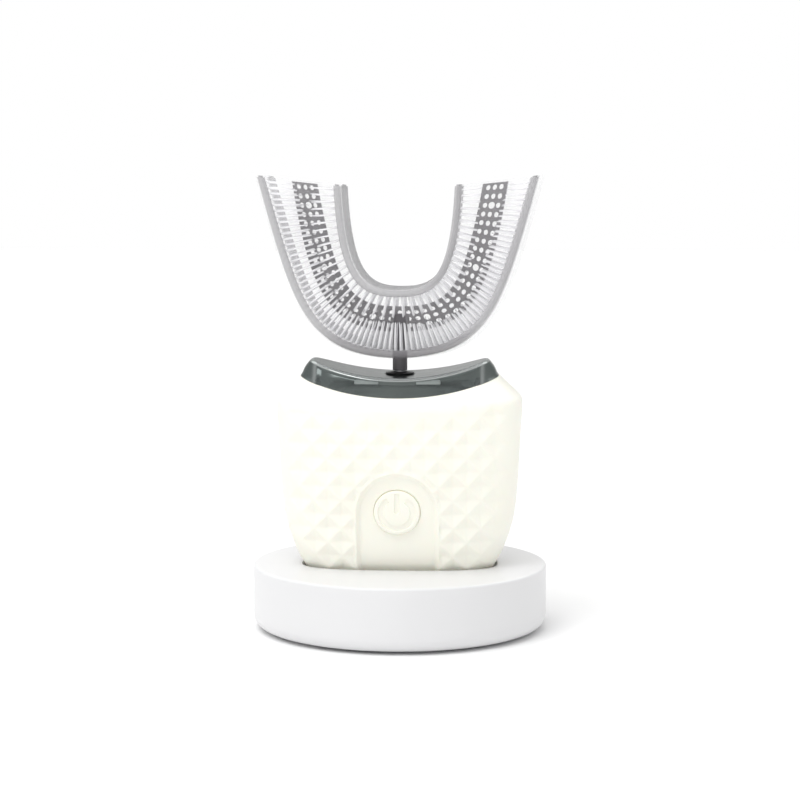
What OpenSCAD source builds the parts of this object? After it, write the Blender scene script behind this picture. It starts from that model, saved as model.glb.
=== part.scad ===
// U-shaped sonic toothbrush standing on its round charging dock.
// Origin on the surface it stands on, at the dock's centre. +Z up, front faces -Y. Millimetres.

/* [Dock] */
// Diameter of the charging dock
dock_d = 70; // [66:1:76]
// Height of the dock's top face above the table
dock_h = 15.4; // [15:0.1:18]
// Depth of the recess that the handle stands in
recess_depth = 3.5; // [3:0.1:4]
// Wall thickness of the dock's shell
dock_wall = 2; // [1.6:0.1:2.2]

/* [Handle] */
// Wall thickness of the grip shell
grip_wall = 2.2; // [2:0.1:2.4]
// Half width of the arched panel round the button
panel_half_w = 9.3; // [8.8:0.1:9.6]
// Depth of the arched panel
panel_depth = 1; // [0.6:0.1:1]
// Height of the button's centre above the dock's top face
button_z = 13.9; // [13.4:0.1:14.4]
// Radius of the power button
button_r = 5.4; // [5:0.1:5.6]
// Travel of the power button
button_travel = 0.8; // [0.5:0.1:0.8]

/* [Drive] */
// Radius of the oscillating steel shaft
shaft_r = 1.2; // [1:0.05:1.3]
// Radial running clearance round the shaft
running_gap = 0.05; // [0.03:0.01:0.08]
// Outer radius of the motor's can
motor_r = 6; // [5.8:0.1:6.1]

/* [Mouthpiece] */
// Height of the mouthpiece's underside above the dock's top face
mouth_z = 50; // [49.6:0.1:54]
// Half the mouthpiece's depth from front rim to back rim
mouth_half_d = 12; // [11:0.5:13]
// Thickness of the silicone walls
mouth_wall = 1.8; // [1.4:0.1:2]
// Outward bulge of the outer wall halfway between its rims
mouth_bulge = 0.9; // [0.5:0.1:1]
// How far the outer wall's rims stand in along the arms
mouth_rim_in = 0.9; // [0.5:0.1:1]

/* [Hidden] */
$fn = 64;

eps = 0.01;
dock_r = dock_d / 2;

// Handle: [height above the dock's top face, half width, half depth] of its sections
front_slope = 0.2;
grip_sections = [
    [-3.4, 19.6, 8.0], [-1.8, 21.6, 10.0], [0, 22.7, 11.2], [2.4, 24.1, 12.4], [5, 25.2, 13.2],
    [8, 26.3, 13.8], [14, 27.6, 15.0], [25, 28.4, 17.2], [33, 28.8, 18.1], [37.6, 29.1, 18.2],
    [39.4, 29.1, 17.8], [41.2, 27.7, 16.6], [43.2, 25.6, 14.4], [45.4, 23.5, 12.0],
    [47.2, 22.6, 10.9], [49.6, 20.6, 10.0], [51, 19.4, 9.6]
];
section_power = 3;
section_points = 48;
panel_arch_z = button_z;
button_tilt = atan(front_slope);
button_half_depth = 13.2 + front_slope * (button_z - 5);

// Saddle lines: the shell's upper edge and the collar's upper face
shell_saddle_r = 68;
shell_saddle_z = dock_h + 40.95;
collar_saddle_r = 58;
collar_saddle_z = dock_h + 45.2;

// Drive train heights
motor_z = dock_h + 20.5;
motor_h = 20;
seal_top_z = dock_h + 45.9;
shaft_top_z = dock_h + 55;

// Mouthpiece outlines, each half a cubic curve from the middle of the U to the arm's tip
outer_curve = [[0, 0], [22, 0], [24.7, 10], [33.3, 42.3]];
inner_curve = [[0, 15.7], [7.6, 15.7], [12.2, 17.8], [13.2, 40.0]];
half_steps = 16;
web_half_t = 1.2;
frame_half_w = 3;
frame_half_t = 0.6;

function bezier(p, t) =
    pow(1 - t, 3) * p[0] + 3 * pow(1 - t, 2) * t * p[1] + 3 * (1 - t) * t * t * p[2] + pow(t, 3) * p[3];
function side_point(curve, t) = let (p = bezier(curve, abs(t))) [sign(t) * p[0], p[1]];
function signed_power(v, p) = sign(v) * pow(abs(v), p);
function oval(half_w, half_d) = [
    for (i = [0 : section_points - 1]) let (a = 360 * (i + 0.5) / section_points)
        [half_w * signed_power(cos(a), 2 / section_power), half_d * signed_power(sin(a), 2 / section_power)]
];

// Closed loft through the handle's sections, drawn in by an inset
module grip_loft(inset = 0) {
    rings = len(grip_sections);
    n = section_points;
    points = [
        for (s = grip_sections) for (p = oval(s[1] - inset, s[2] - inset)) [p[0], p[1], dock_h + s[0]]
    ];
    sides = [
        for (k = [0 : rings - 2]) for (i = [0 : n - 1]) let (j = (i + 1) % n)
            [k * n + i, (k + 1) * n + i, (k + 1) * n + j, k * n + j]
    ];
    bottom = [for (i = [0 : n - 1]) i];
    top = [for (i = [0 : n - 1]) (rings - 1) * n + n - 1 - i];
    polyhedron(points, concat([bottom], sides, [top]), convexity = 4);
}

// Everything below a saddle: a trough of radius r whose lowest line is at height z
module below_saddle(r, z) {
    difference() {
        translate([-40, -40, -1]) cube([80, 80, z + 21]);
        translate([0, 0, z + r]) rotate([90, 0, 0]) cylinder(r = r, h = 100, center = true, $fn = 128);
    }
}

// Local frame of the button: +Z along the panel's outward normal, +Y up the panel
module at_button() {
    translate([0, -button_half_depth, dock_h + button_z]) rotate([90 + button_tilt, 0, 0]) children();
}

module tube(outer_r, inner_r, h) {
    difference() {
        cylinder(r = outer_r, h = h);
        translate([0, 0, -1]) cylinder(r = inner_r, h = h + 2);
    }
}

// Flat oval made of a bar and two round ends
module stadium(length, width, h) {
    translate([-(length - width) / 2, -width / 2, 0]) cube([length - width, width, h]);
    for (side = [-1, 1]) translate([side * (length - width) / 2, 0, 0]) cylinder(d = width, h = h);
}

module stadium_ring(length, width, band, h) {
    difference() {
        stadium(length, width, h);
        translate([0, 0, -1]) stadium(length - 2 * band, width - 2 * band, h + 2);
    }
}

// ---- Dock ----
plate_z = 0.6;
plate_top = 2.4;
recess_floor_z = dock_h - recess_depth;
dock_inside_r = dock_r - dock_wall;
screw_ring_r = 24;
foot_inner_r = 27;
foot_outer_r = 31;
coil_z = recess_floor_z - 2.6;
board_z = 4.4;
inlet_z = board_z + 2.9;

module at_dock_screws() {
    for (a = [45 : 90 : 315]) rotate([0, 0, a]) translate([screw_ring_r, 0, 0]) children();
}

// Outline of the dock's shell: rounded at the table, a small radius at the top
module dock_outline() {
    foot_edge = 2.8;
    lip = 0.6;
    translate([0, plate_z]) square([dock_r - foot_edge, dock_h - plate_z]);
    translate([0, plate_z + foot_edge]) square([dock_r, dock_h - lip - plate_z - foot_edge]);
    translate([dock_r - foot_edge, plate_z + foot_edge]) circle(r = foot_edge);
    translate([0, plate_z + foot_edge]) square([dock_r - lip, dock_h - plate_z - foot_edge]);
    translate([dock_r - lip, dock_h - lip]) circle(r = lip);
}

module dock_shell() {
    roof = 2;
    color("white") difference() {
        union() {
            difference() {
                rotate_extrude($fn = 160) dock_outline();
                translate([0, 0, plate_top]) cylinder(r = dock_inside_r, h = dock_h - roof - plate_top);
                cylinder(r = dock_inside_r - 1, h = dock_h - roof);
            }
            translate([0, 0, recess_floor_z - 1.4]) linear_extrude(height = recess_depth + 1.4 - eps)
                polygon(oval(24.9, 13.5));
            at_dock_screws() translate([0, 0, plate_top]) cylinder(r = 2.6, h = dock_h - roof - plate_top + 0.5);
        }
        translate([0, 0, recess_floor_z]) linear_extrude(height = recess_depth + 5) polygon(oval(23.5, 12));
        at_dock_screws() translate([0, 0, -1]) cylinder(r = 0.9, h = 12);
        translate([0, dock_r - 6, inlet_z]) rotate([-90, 0, 0]) stadium(9.6, 3.8, 8);
    }
}

module dock_base_plate() {
    color("whitesmoke") difference() {
        translate([0, 0, plate_z]) cylinder(r = dock_inside_r - 1.1, h = plate_top - plate_z);
        translate([0, 0, -1]) tube(foot_outer_r + eps, foot_inner_r - eps, 2.2);
        at_dock_screws() cylinder(r = 1.1, h = 5);
        at_dock_screws() cylinder(r = 2.1, h = plate_z + 0.9);
    }
}

module anti_slip_ring() {
    color("dimgray") tube(foot_outer_r, foot_inner_r, 1.2);
}

module dock_screws() {
    color("silver") at_dock_screws() translate([0, 0, plate_z + 0.1]) {
        difference() {
            cylinder(r = 1.9, h = 0.8);
            translate([0, 0, -eps]) for (a = [0, 90]) rotate([0, 0, a])
                translate([-1.1, -0.2, 0]) cube([2.2, 0.4, 0.4]);
        }
        cylinder(r = 0.88, h = 8);
    }
}

module transmit_coil() {
    color("peru") translate([0, 0, coil_z]) stadium_ring(36, 18, 5, 1.1);
}

module transmit_ferrite() {
    color("dimgray") translate([0, 0, coil_z - 1]) stadium(38, 20, 0.9);
}

module dock_board() {
    color("seagreen") translate([-13, 10, board_z]) cube([26, 19.2, 1]);
}

module dock_board_parts() {
    part_z = board_z + 1;
    color("black") {
        translate([-9, 15, part_z]) cube([5, 5, 1]);
        translate([4, 13.5, part_z]) cube([4, 3, 1.4]);
        translate([-10, 22.5, part_z]) cube([2, 3.2, 1]);
        translate([7, 20, part_z]) cylinder(r = 1.8, h = 1.8);
    }
}

module power_inlet() {
    color("silver") difference() {
        translate([0, dock_r - 8.3, inlet_z]) rotate([-90, 0, 0]) stadium(9.1, 3.3, 7.8);
        translate([0, dock_r - 7.2, inlet_z]) rotate([-90, 0, 0]) stadium(8.5, 2.7, 8);
    }
    color("black") translate([-3.3, dock_r - 7.3, inlet_z - 0.35]) cube([6.6, 5.6, 0.7]);
}

// ---- Handle shell and charging side ----
split_z = dock_h - 1.8;

module arch_prism(half_w, arch_z) {
    translate([-half_w, -40, dock_h - 10]) cube([2 * half_w, 40, arch_z + 10]);
    translate([0, 0, dock_h + arch_z]) rotate([90, 0, 0]) cylinder(r = half_w, h = 40);
}

module grip_shell() {
    color("ivory") difference() {
        intersection() {
            grip_loft();
            below_saddle(shell_saddle_r, shell_saddle_z);
            translate([-40, -40, split_z]) cube([80, 80, 80]);
        }
        grip_loft(grip_wall);
        difference() {
            arch_prism(panel_half_w, panel_arch_z);
            grip_loft(panel_depth);
        }
        at_button() translate([0, 0, -6]) cylinder(r = button_r + 0.2, h = 12);
        translate([0, 0, split_z - 1]) linear_extrude(height = 2) polygon(oval(19.4, 8));
    }
}

module at_bottom_screws() {
    for (side = [-1, 1]) translate([side * 17.6, 0, 0]) children();
}

module bottom_cap() {
    floor_t = 1.8;
    color("ivory") difference() {
        union() {
            intersection() {
                grip_loft();
                translate([-40, -40, 0]) cube([80, 80, split_z - 0.02]);
            }
            translate([0, 0, split_z - 0.1]) linear_extrude(height = 1.5) polygon(oval(18.9, 7.5));
        }
        translate([0, 0, dock_h - 3.4 + floor_t]) linear_extrude(height = 10) polygon(oval(16.2, 6.2));
        at_bottom_screws() translate([0, 0, dock_h - 6]) cylinder(r = 0.85, h = 12);
        at_bottom_screws() translate([0, 0, dock_h - 4]) cylinder(r = 1.5, h = 1.6);
    }
}

module bottom_seal() {
    color("dimgray") translate([0, 0, split_z + 0.2]) difference() {
        linear_extrude(height = 0.8) polygon(oval(19.35, 7.95));
        translate([0, 0, -1]) linear_extrude(height = 3) polygon(oval(18.92, 7.52));
    }
}

module bottom_screws() {
    color("silver") at_bottom_screws() {
        translate([0, 0, dock_h - 3.3]) cylinder(r = 1.4, h = 0.85);
        translate([0, 0, dock_h - 3]) cylinder(r = 0.7, h = 7);
    }
}

module receive_coil() {
    color("peru") translate([0, 0, dock_h - 1.5]) stadium_ring(30, 11.5, 3.4, 1);
}

module receive_ferrite() {
    color("dimgray") translate([0, 0, dock_h - 0.45]) stadium(30, 12, 0.8);
}

// ---- Handle internals ----
battery_x = -15.6;
battery_r = 6.5;
damper_r = motor_r + 1.1;

module chassis() {
    deck_z = dock_h + 6;
    deck_t = 1.5;
    back_y = 7.3;
    back_t = 1.4;
    rib_z = [dock_h + 11, dock_h + 30];
    color("gainsboro") difference() {
        union() {
            translate([-19.5, -3.6, deck_z]) cube([39, 10.6, deck_t]);
            translate([-14.5, back_y, deck_z]) cube([29, back_t, 33]);
            translate([-14.5, 5, deck_z]) cube([29, 3, deck_t]);
            at_bottom_screws() translate([0, 0, dock_h + 0.6]) cylinder(r = 2, h = 6);
            for (z = rib_z) translate([-14.5, 1, z]) cube([13, back_y - 0.5, 1.6]);
            translate([-5.5, 1, dock_h + 38]) cube([11, back_y - 0.5, 1.4]);
            translate([0, 0, dock_h + 17.4]) cylinder(r = 4, h = 1.2);
            translate([-1.5, 0, dock_h + 17.4]) cube([3, back_y + 0.5, 1.2]);
        }
        translate([battery_x, 0.4, 0]) cylinder(r = battery_r + 0.1, h = 100);
        translate([0, 0, dock_h + 19]) cylinder(r = damper_r + 0.1, h = 30);
        at_bottom_screws() cylinder(r = 0.72, h = 100);
    }
}

module battery() {
    color("steelblue") translate([battery_x, 0.4, dock_h + 7.8]) {
        cylinder(r = battery_r, h = 27.5);
        translate([0, 0, 27.5 - eps]) cylinder(r = 2.4, h = 0.9);
    }
}

module main_board() {
    color("seagreen") at_button() translate([-8.4, -8.6, -9.4]) cube([16.8, 27.6, 1]);
}

module board_parts() {
    color("black") at_button() {
        translate([-6, 7.5, -8.4]) cube([5, 5, 1]);
        translate([2, 9, -8.4]) cube([3, 3.4, 1.1]);
        translate([-5, 14.5, -8.4]) cube([3, 1.8, 0.9]);
        translate([3, 14, -8.4]) cube([1.8, 3, 0.9]);
    }
}

module tact_switch() {
    color("black") at_button() {
        translate([-2.6, -2.6, -8.4]) cube([5.2, 5.2, 1.7]);
        translate([0, 0, -6.8]) cylinder(r = 1.2, h = 1.1);
    }
}

module button_membrane() {
    color("lightgray") at_button() {
        translate([0, 0, -5.6]) cylinder(r = 7.6, h = 0.6);
        translate([0, 0, -5.1]) tube(7.6, 6.8, 2.6);
    }
}

module power_button() {
    color("ivory") at_button() difference() {
        union() {
            translate([0, 0, -3.2]) cylinder(r = button_r, h = 3.1);
            translate([0, 0, -3.6]) cylinder(r = button_r + 0.8, h = 0.8);
        }
        translate([0, 0, -0.5]) difference() {
            tube(4.6, 3.2, 2);
            for (side = [-1, 1]) rotate([0, 0, side * 18]) translate([-1.6, 0, -1]) cube([3.2, 8, 4]);
        }
        translate([-0.7, 0.8, -0.5]) cube([1.4, 3.9, 2]);
    }
}

// ---- Collar ----
collar_inset = 0.15;
window_x = 7.2;
window_tilt = 42.5;

module at_windows() {
    for (side = [-1, 1])
        translate([side * window_x, -12.6, dock_h + 44.7]) rotate([window_tilt, 0, 0]) children();
}

module collar() {
    skin = 1.8;
    color("dimgray") difference() {
        union() {
            difference() {
                intersection() {
                    grip_loft(collar_inset);
                    below_saddle(collar_saddle_r, collar_saddle_z);
                }
                below_saddle(shell_saddle_r, shell_saddle_z + 0.02);
            }
            difference() {
                intersection() {
                    grip_loft(grip_wall + 0.1);
                    below_saddle(shell_saddle_r, shell_saddle_z + 0.5);
                }
                translate([-40, -40, 0]) cube([80, 80, dock_h + 39.6]);
            }
        }
        intersection() {
            grip_loft(grip_wall + 1.4);
            below_saddle(collar_saddle_r, collar_saddle_z - skin);
        }
        translate([0, 0, dock_h + 38]) cylinder(r = 2.6, h = 12);
        translate([0, 0, dock_h + 45.2]) cylinder(r = 3.65, h = 3);
        at_windows() translate([-3.05, -0.65, -3]) cube([6.1, 1.3, 6]);
    }
}

module collar_seal() {
    color("dimgray") difference() {
        intersection() {
            grip_loft(grip_wall + 0.1);
            translate([-40, -40, dock_h + 38.4]) cube([80, 80, 1.1]);
        }
        grip_loft(grip_wall + 1.2);
    }
}

module light_windows() {
    color("gainsboro") at_windows() translate([-3, -0.6, -2]) cube([6, 1.2, 2]);
}

module light_board() {
    color("seagreen") translate([-13, -10.5, dock_h + 40.9]) cube([26, 7, 0.8]);
    color("gold") for (side = [-1, 1])
        translate([side * window_x - 1.4, -9.4, dock_h + 41.6]) cube([2.8, 1.6, 0.9]);
}

module shaft_seal() {
    color("black") difference() {
        union() {
            translate([0, 0, dock_h + 42.6]) cylinder(r = 2.6 - eps, h = 2.8);
            translate([0, 0, dock_h + 45.22]) cylinder(r = 3.6, h = seal_top_z - dock_h - 45.22);
        }
        cylinder(r = shaft_r + running_gap, h = 100);
    }
}

// ---- Motor ----
module motor_can() {
    color("silver") translate([0, 0, motor_z]) {
        tube(motor_r, motor_r - 0.6, motor_h - 1);
        tube(motor_r - 0.3, 3.2, 0.7);
    }
}

module motor_end_cap() {
    color("whitesmoke") translate([0, 0, motor_z + motor_h - 1]) tube(motor_r, 3.2, 1.2);
}

module motor_windings() {
    color("peru") translate([0, 0, motor_z + 3.4]) tube(motor_r - 0.65, 4.1, motor_h - 7);
}

module motor_damper() {
    color("black") {
        translate([0, 0, motor_z + 1.2]) tube(damper_r, motor_r + eps, 2.6);
        translate([0, 0, dock_h + 37.4]) tube(damper_r, motor_r + eps, 2.6);
    }
}

module bearing() {
    tube(3.2, shaft_r + running_gap, 2.4);
}

module upper_bearing() {
    color("goldenrod") translate([0, 0, motor_z + motor_h - 2.2]) bearing();
}

module lower_bearing() {
    color("goldenrod") translate([0, 0, motor_z]) bearing();
}

module drive_shaft() {
    color("silver") translate([0, 0, motor_z - 0.4]) {
        cylinder(r = shaft_r, h = shaft_top_z - motor_z + 0.4 - 0.4);
        translate([0, 0, shaft_top_z - motor_z - eps]) cylinder(r1 = shaft_r, r2 = shaft_r - 0.3, h = 0.4);
    }
}

module rotor() {
    color("slategray") translate([0, 0, motor_z + 3.2]) tube(3.7, shaft_r, motor_h - 6.4);
}

// ---- Mouthpiece ----
mouth_base = dock_h + mouth_z;
stem_r = 1.8;
stem_top_z = mouth_base + 7.2;

// Inward lean of the outer wall: none at the foot of the U, full from a third of the way up
function lean(t, p) = p[0] > 0 ? 0 : mouth_rim_in * min(1, 3 * abs(t)) * pow(p[2] / mouth_half_d, 2);

// A section point is [share of the arm's width from its outer outline, offset from there, y]
function station(t, p) =
    let (o = side_point(outer_curve, t), i = side_point(inner_curve, t))
    let (q = o + (i - o) * p[0] + (i - o) / norm(i - o) * (p[1] + lean(t, p)))
        [q[0], p[2], mouth_base + q[1]];

// Sweep of a closed section along the U, from one arm to the other
module mouth_sweep(section, end_faces, first, last) {
    n = len(section);
    steps = 2 * half_steps;
    points = [
        for (k = [0 : steps]) let (t = first + (last - first) * k / steps)
            for (p = section) station(t == 0 ? eps / 100 : t, p)
    ];
    sides = [
        for (k = [0 : steps - 1]) for (i = [0 : n - 1]) let (j = (i + 1) % n)
            [k * n + i, k * n + j, (k + 1) * n + j, (k + 1) * n + i]
    ];
    near = [for (f = end_faces) [for (i = [len(f) - 1 : -1 : 0]) f[i]]];
    far = [for (f = end_faces) [for (i = f) steps * n + i]];
    polyhedron(points, concat(near, sides, far), convexity = 6);
}

module mouthpiece_tray() {
    d = mouth_half_d;
    w = mouth_wall;
    b = mouth_bulge;
    h = web_half_t;
    section = [
        [0, 0, -d], [0, w, -d], [0, w - b, -h], [1, -w, -h], [1, -w, -d], [1, 0, -d],
        [1, 0, d], [1, -w, d], [1, -w, h], [0, w - b, h], [0, w, d], [0, 0, d],
        [0, -b * 0.75, d / 2], [0, -b, 0], [0, -b * 0.75, -d / 2]
    ];
    end_faces = [
        [0, 1, 2, 14], [14, 2, 13], [13, 2, 9], [13, 9, 12], [12, 9, 10, 11],
        [2, 3, 8, 9], [3, 4, 5], [3, 5, 6, 8], [8, 6, 7]
    ];
    color("white", 0.5) difference() {
        mouth_sweep(section, end_faces, -1, 1);
        translate([0, 0, mouth_base - 2]) cylinder(r = stem_r, h = stem_top_z - mouth_base + 2);
    }
}

module mouthpiece_frame() {
    w = frame_half_w;
    h = frame_half_t;
    middle = 0.53;
    section = [[middle, -w, -h], [middle, w, -h], [middle, w, h], [middle, -w, h]];
    color("dimgray") mouth_sweep(section, [[0, 1, 2, 3]], -0.985, 0.985);
}

module mouthpiece_stem() {
    stem_bottom = seal_top_z + 0.2;
    color("dimgray") difference() {
        union() {
            translate([0, 0, stem_bottom]) cylinder(r = stem_r, h = stem_top_z - stem_bottom);
            translate([-2.6, -stem_r, stem_top_z - 0.6]) cube([5.2, 2 * stem_r, 3.6]);
        }
        cylinder(r = shaft_r + running_gap, h = shaft_top_z + 0.2);
    }
}

dock_shell();
dock_base_plate();
anti_slip_ring();
dock_screws();
transmit_coil();
transmit_ferrite();
dock_board();
dock_board_parts();
power_inlet();
grip_shell();
bottom_cap();
bottom_seal();
bottom_screws();
receive_coil();
receive_ferrite();
chassis();
battery();
main_board();
board_parts();
tact_switch();
button_membrane();
collar();
collar_seal();
light_windows();
light_board();
shaft_seal();
motor_can();
motor_end_cap();
motor_windings();
motor_damper();
upper_bearing();
lower_bearing();
power_button();
drive_shaft();
rotor();
mouthpiece_tray();
mouthpiece_frame();
mouthpiece_stem();
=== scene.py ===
"""Looks of the U-shaped toothbrush on its charging dock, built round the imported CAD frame.

Lengths are in metres; a size in millimetres is written as N * MM. Front faces -Y, +Z is up.
"""

import math

import bmesh
import bpy
import numpy as np
from mathutils import Matrix, Vector


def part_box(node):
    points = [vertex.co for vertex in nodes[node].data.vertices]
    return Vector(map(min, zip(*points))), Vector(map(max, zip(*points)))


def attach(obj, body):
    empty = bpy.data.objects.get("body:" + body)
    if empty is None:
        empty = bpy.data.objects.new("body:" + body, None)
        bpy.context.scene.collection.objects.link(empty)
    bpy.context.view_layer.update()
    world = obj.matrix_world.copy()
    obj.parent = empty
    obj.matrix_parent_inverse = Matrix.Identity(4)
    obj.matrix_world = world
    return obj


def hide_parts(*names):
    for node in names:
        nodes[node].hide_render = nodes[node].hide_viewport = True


MM = 0.001
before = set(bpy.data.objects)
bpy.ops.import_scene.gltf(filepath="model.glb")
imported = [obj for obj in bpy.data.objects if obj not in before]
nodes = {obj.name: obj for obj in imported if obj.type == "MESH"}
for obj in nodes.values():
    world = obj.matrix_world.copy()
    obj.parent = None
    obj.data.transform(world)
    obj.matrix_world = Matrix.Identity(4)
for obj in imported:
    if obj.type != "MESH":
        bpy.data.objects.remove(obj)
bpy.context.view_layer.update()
DOCK_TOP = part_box("dock_shell")[1].z
DOCK_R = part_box("dock_shell")[1].x
TAU = 2 * math.pi


# ---------------------------------------------------------------- helpers

def linear(hex_colour):
    """sRGB hex to the linear RGBA that shaders take."""
    channels = [int(hex_colour[i:i + 2], 16) / 255 for i in (1, 3, 5)]
    return tuple(c / 12.92 if c <= 0.04045 else ((c + 0.055) / 1.055) ** 2.4 for c in channels) + (1.0,)


def smoothstep(x, low, high):
    t = np.clip((x - low) / (high - low), 0, 1)
    return t * t * (3 - 2 * t)


def make_object(name, verts, faces, material, smooth=True, sharp_deg=None):
    """A piece at the origin, with its place in its mesh."""
    mesh = bpy.data.meshes.new(name)
    mesh.from_pydata([tuple(v) for v in verts], [], [tuple(f) for f in faces])
    mesh.validate()
    mesh.update()
    obj = bpy.data.objects.new(name, mesh)
    bpy.context.scene.collection.objects.link(obj)
    mesh.materials.append(material)
    mesh.shade_smooth() if smooth else mesh.shade_flat()
    if sharp_deg:
        mesh.set_sharp_from_angle(angle=math.radians(sharp_deg))
    return obj


def face_outwards(obj):
    """Merges doubles and turns every face of a closed mesh outwards."""
    bm = bmesh.new()
    bm.from_mesh(obj.data)
    bmesh.ops.remove_doubles(bm, verts=bm.verts, dist=1e-7)
    bmesh.ops.recalc_face_normals(bm, faces=bm.faces)
    bm.to_mesh(obj.data)
    bm.free()
    return obj


def apply_modifiers(obj):
    """The evaluated mesh takes the place of the mesh and its modifiers."""
    graph = bpy.context.evaluated_depsgraph_get()
    mesh = bpy.data.meshes.new_from_object(obj.evaluated_get(graph))
    obj.modifiers.clear()
    obj.data = mesh
    return obj


def cut(obj, cutter):
    """Takes the cutter's volume out of obj."""
    tool = obj.modifiers.new("cut", "BOOLEAN")
    tool.operation = "DIFFERENCE"
    tool.solver = "EXACT"
    tool.object = cutter
    apply_modifiers(obj)
    bpy.data.objects.remove(cutter)
    return obj


def grid_faces(rows, columns, closed_rows=False, closed_columns=True, first=0):
    """Quads of a rows x columns grid of vertices, row by row."""
    faces = []
    for r in range(rows if closed_rows else rows - 1):
        for c in range(columns if closed_columns else columns - 1):
            r2, c2 = (r + 1) % rows, (c + 1) % columns
            faces.append((first + r * columns + c, first + r * columns + c2,
                          first + r2 * columns + c2, first + r2 * columns + c))
    return faces


def lathe(profile, segments, place=(0, 0, 0)):
    """Vertices and faces of a closed outline of (radius, height) turned about Z."""
    verts = []
    for r, z in profile:
        for k in range(segments):
            a = TAU * k / segments
            verts.append((place[0] + r * math.cos(a), place[1] + r * math.sin(a), place[2] + z))
    return verts, grid_faces(len(profile), segments, closed_rows=True)


def arc(centre, radius, start_deg, end_deg, steps):
    """Points of a circular arc, both ends included."""
    return [(centre[0] + radius * math.cos(math.radians(start_deg + (end_deg - start_deg) * k / steps)),
             centre[1] + radius * math.sin(math.radians(start_deg + (end_deg - start_deg) * k / steps)))
            for k in range(steps + 1)]


# ---------------------------------------------------------------- materials

def add_node(tree, kind, links=None, **settings):
    """Adds a node. links maps an input to a socket or a value; settings are the node's own properties."""
    node = tree.nodes.new(kind)
    for key, value in settings.items():
        setattr(node, key, value)
    for key, value in (links or {}).items():
        if isinstance(value, bpy.types.NodeSocket):
            tree.links.new(value, node.inputs[key])
        else:
            node.inputs[key].default_value = value
    return node


def new_material(name, **sockets):
    """A material with its Principled shader; sockets are values set on the shader itself."""
    material = bpy.data.materials.new(name)
    material.use_nodes = True
    tree = material.node_tree
    shader = tree.nodes["Principled BSDF"]
    for key, value in sockets.items():
        shader.inputs[key.replace("_", " ")].default_value = value
    return material, tree, shader


def mottled(tree, coords, scale, colour_a, colour_b, low=0.35, high=0.65, detail=3.0):
    """A soft noise between two colours, as uneven pigment and handling leave it."""
    noise = add_node(tree, "ShaderNodeTexNoise", {"Vector": coords, "Scale": scale, "Detail": detail})
    ramp = add_node(tree, "ShaderNodeMapRange", {
        "Value": noise.outputs["Fac"], "From Min": low, "From Max": high})
    return add_node(tree, "ShaderNodeMix", {0: ramp.outputs["Result"], "A": colour_a, "B": colour_b},
                    data_type="RGBA")


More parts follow.
